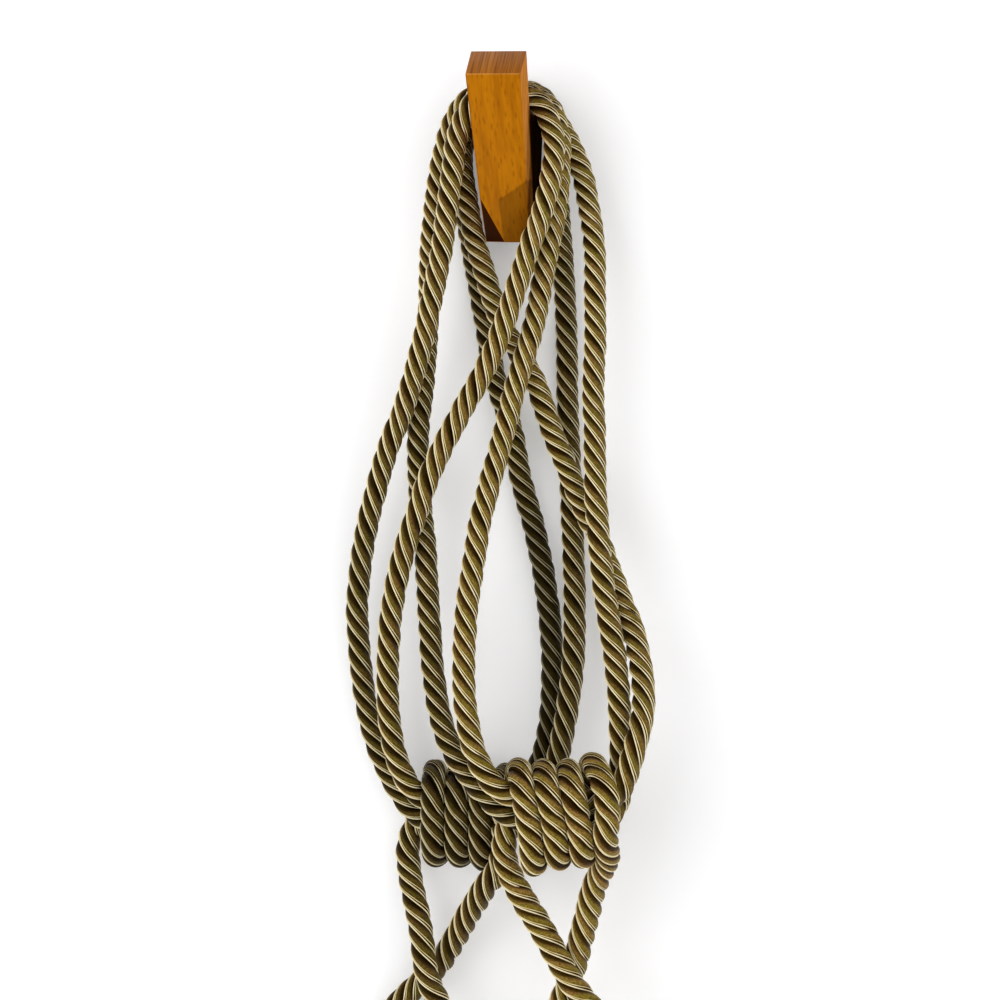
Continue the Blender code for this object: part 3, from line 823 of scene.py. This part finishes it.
def hookWood(name):
    look = hookLooks[name]
    material, shader, tree = newMaterial(name)
    spot = tree.node("ShaderNodeTexCoord", output="Object")
    x, y, z = spot.part("X"), spot.part("Y"), spot.part("Z")
    across, deep, high = look["grain"]
    grainSpot = placeOf(tree, x * across, y * deep, z * high)
    grain = noise(tree, grainSpot, scale=1.0, detail=5.0)
    broad = noise(tree, grainSpot, scale=hook["broadScale"], detail=3.0)
    fleckAcross, fleckDeep, fleckHigh = hook["fleckScale"]
    fleckSpot = placeOf(tree, x * fleckAcross, y * fleckDeep, z * fleckHigh)
    bent = fleckSpot.node("ShaderNodeVectorMath", {0: fleckSpot, 1: broad})
    cells = tree.node("ShaderNodeTexVoronoi", {"Vector": bent, "Scale": 1.0, "Randomness": 1.0})
    fleck = (1.0 - cells.between(*hook["fleckAt"])) * look["flecked"]
    mixed = broad * hook["broadShare"] + grain * hook["fineShare"]
    wood = mixed.between(*hook["deepAt"]).blend(hook["pale"], hook["deep"])
    shade = shadeOfHook(x, y, z, broad * hookShade["ragged"] - hookShade["ragged"] / 2)
    lines = grain.between(*hook["linedAt"]) * look["lined"]
    # the wood tinted with its face's painted light or shade
    paintedLitWood = fleck.blend(wood, hook["fleck"]).tinted(look["paintedLight"])
    feed(paintedLitWood.scaled(shade * (1.0 - lines)), shader, "Base Color")
    feed(hook["roughness"] + grain * hook["rougher"], shader, "Roughness")
    feedBump(grain - fleck, hook["bump"], hook["bumpHeight"], shader)
    shader.inputs["Specular IOR Level"].default_value = look["gloss"]
    shader.inputs["Specular Tint"].default_value = hook["glossColour"]
    return material


def hookSlot(normal):
    # which look a face of the hook has, by the way it faces, and so its painted light or shade
    front, top, facet = (Vector(hookFaces[way]) for way in ("front", "top", "facet"))
    edge = (front + top).normalized()
    if normal.dot(facet) > hookFaces["facetAlike"]:
        return "hookFacetShaded"
    if abs(normal.x) < hookFaces["edgeAside"] and normal.dot(edge) > hookFaces["edgeAlike"]:
        return "hookEdgeHighlight"
    if normal.dot(top) > hookFaces["topAlike"]:
        return "hookTopShaded"
    if abs(normal.x) > hookFaces["sideAlike"]:
        return "hookSideSheen"
    return "hookFront"


def makeHook():
    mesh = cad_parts["hook"].data.copy()
    piece = bpy.data.objects.new("woodenHook", mesh)
    bpy.context.scene.collection.objects.link(piece)
    bpy.ops.object.select_all(action="DESELECT")
    piece.select_set(True)
    bpy.context.view_layer.objects.active = piece
    bpy.ops.object.mode_set(mode="EDIT")
    bpy.ops.mesh.select_all(action="SELECT")
    bpy.ops.mesh.remove_doubles(threshold=hook["mergeWithin"])
    bpy.ops.mesh.dissolve_limited(angle_limit=hook["flatWithin"])
    bpy.ops.object.mode_set(mode="OBJECT")
    bpy.ops.object.shade_smooth_by_angle(angle=hook["smoothAngle"])
    mesh.materials.clear()
    for name in hookLooks:
        mesh.materials.append(hookWood(name))
    for face in mesh.polygons:
        face.material_index = list(hookLooks).index(hookSlot(face.normal))
    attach(piece, "root")
    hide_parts("hook")
    print("hook made")


makeHook()

# Stage: a pale wall that shows from the room only, and a pale floor
stage = {
    "wall": (0.86, 0.86, 0.87, 1.0),
    "wallSize": 2.4,
    "wallMiddle": 0.4,
    "wallGap": 0.0006,
    "wallGlow": 0.25,         # keeps the shadows on the wall as faint as in a bright room
    "floor": (0.82, 0.82, 0.81, 1.0),
    "floorSize": 4.0,
    "floorHeight": -0.80,
    "roughness": 0.9,
}


def palePaint(name, colour):
    material, shader, tree = newMaterial(name)
    shader.inputs["Base Color"].default_value = colour
    shader.inputs["Roughness"].default_value = stage["roughness"]
    return material, shader, tree


def wallPaint():
    material, shader, tree = palePaint("wallPaint", stage["wall"])
    shader.inputs["Emission Color"].default_value = (1.0, 1.0, 1.0, 1.0)
    shader.inputs["Emission Strength"].default_value = stage["wallGlow"]
    behind = tree.node("ShaderNodeNewGeometry", output="Backfacing")
    clear = tree.node("ShaderNodeBsdfTransparent")
    front = Signal(tree.tree, shader.outputs["BSDF"])
    seen = tree.node("ShaderNodeMixShader", {0: behind, 1: front, 2: clear})
    feed(seen, material.node_tree.nodes["Material Output"], "Surface")
    return material


def setStage():
    bpy.ops.mesh.primitive_plane_add(
        size=stage["wallSize"],
        location=(0.0, stage["wallGap"], stage["wallMiddle"]),
        rotation=(pi / 2, 0.0, 0.0),
    )
    wall = bpy.context.object
    wall.name = "paleWall"
    wall.data.materials.append(wallPaint())
    bpy.ops.mesh.primitive_plane_add(
        size=stage["floorSize"],
        location=(0.0, 0.0, stage["floorHeight"]),
    )
    floor = bpy.context.object
    floor.name = "paleFloor"
    floor.data.materials.append(palePaint("floorPaint", stage["floor"])[0])


lights = (
    {"place": (-0.95, -1.30, 0.25), "size": 1.7, "watts": 18.5},
    {"place": (1.00, -1.25, 0.15), "size": 1.7, "watts": 13.5},
    {"place": (0.2, -1.6, 0.5), "size": 0.8, "watts": 2.0},
)
lampAim = (0.0, -0.03, -0.2)
world = {"colour": (0.95, 0.97, 1.0, 1.0), "strength": 0.12}


def lightScene():
    for light in lights:
        place = Vector(light["place"])
        turn = (place - Vector(lampAim)).to_track_quat("Z", "Y").to_euler()
        bpy.ops.object.light_add(type="AREA", location=place, rotation=turn)
        lamp = bpy.context.object.data
        lamp.size = light["size"]
        lamp.energy = light["watts"]
    sky = bpy.data.worlds.new("paleSky")
    sky.use_nodes = True
    background = sky.node_tree.nodes["Background"]
    background.inputs["Color"].default_value = world["colour"]
    background.inputs["Strength"].default_value = world["strength"]
    bpy.context.scene.world = sky
    bpy.context.scene.view_settings.view_transform = "Standard"


setStage()
lightScene()
print("stage and lights set")
